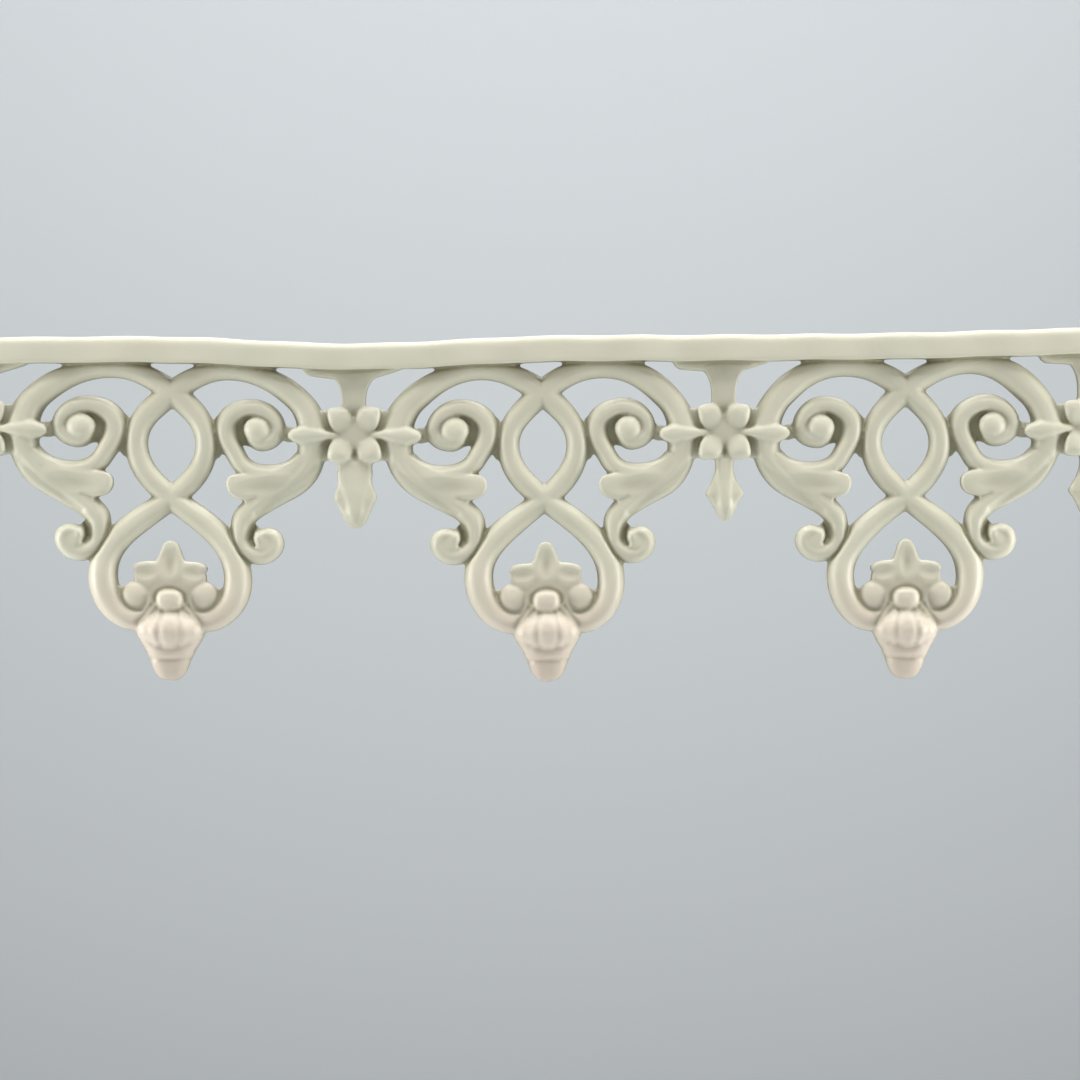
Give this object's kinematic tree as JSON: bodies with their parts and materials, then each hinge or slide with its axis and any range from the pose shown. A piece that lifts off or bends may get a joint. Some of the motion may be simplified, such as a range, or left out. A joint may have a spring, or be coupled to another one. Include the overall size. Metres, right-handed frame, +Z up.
{
  "type": "scroll moulding",
  "caption": "Pierced scroll moulding cast in one piece: a plain rail carrying interlaced ribbons, volutes, rosettes and bud pendants, with a flat back for fixing along an edge.",
  "frame": {"origin": "on the flat back of the rail, at the middle of the rail's length and height", "axes": "+X along the rail, +Z up to the rail's top edge, +Y out of the flat back, so the carved front faces -Y"},
  "size_m": [0.279, 0.008, 0.0884],
  "materials": {
    "cream_resin": "satin-matte soft cast resin, cream, greyer in the recesses"
  },
  "bodies": {
    "root": {"scroll_moulding": "cream_resin"}
  },
  "joints": []
}
